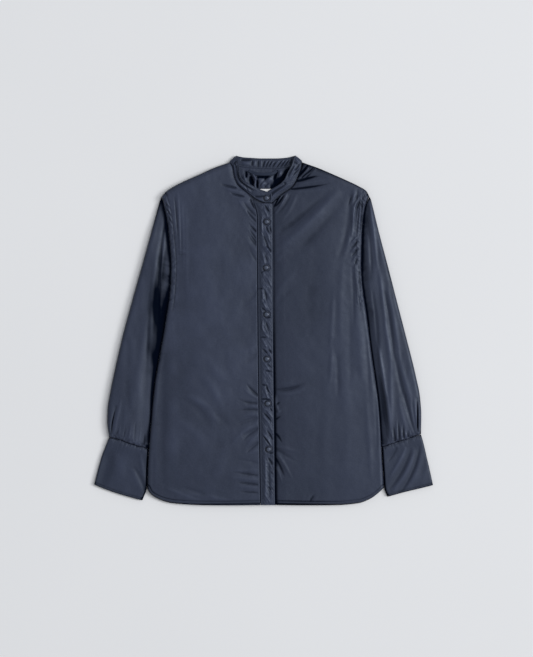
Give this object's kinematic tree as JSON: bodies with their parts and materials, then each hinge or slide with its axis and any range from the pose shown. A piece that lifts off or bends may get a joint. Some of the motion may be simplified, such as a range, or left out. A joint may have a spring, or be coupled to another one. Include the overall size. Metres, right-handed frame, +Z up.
{
  "type": "padded overshirt",
  "caption": "Padded stand-collar overshirt laid flat, closed down the front by a placket with snap caps, with full sleeves gathered into deep flared cuffs.",
  "frame": {"origin": "on the surface that the garment lies on, under the middle of its bounding box", "axes": "+Z up from the surface, +Y from the hem towards the collar, +X towards the wearer's left sleeve (fronts facing up)"},
  "size_m": [0.7128, 0.7355, 0.0232],
  "materials": {
    "padded_nylon": "satin nylon, lightly padded",
    "nylon_strip": "satin nylon, folded double",
    "tape": "woven tape",
    "snap": "satin coated cap",
    "label": "plain woven label, blank"
  },
  "bodies": {
    "root": {"back_panel": "padded_nylon", "front_right": "padded_nylon", "front_left": "padded_nylon", "sleeve_right": "padded_nylon", "sleeve_left": "padded_nylon", "front_placket": "nylon_strip", "under_placket": "nylon_strip", "collar_stand": "nylon_strip", "cuff_right": "nylon_strip", "cuff_left": "nylon_strip", "hanger_loop": "tape", "neck_label": "label", "snap_cap_1": "snap", "snap_cap_2": "snap", "snap_cap_3": "snap", "snap_cap_4": "snap", "snap_cap_5": "snap", "snap_cap_6": "snap", "snap_cap_7": "snap"}
  },
  "joints": []
}
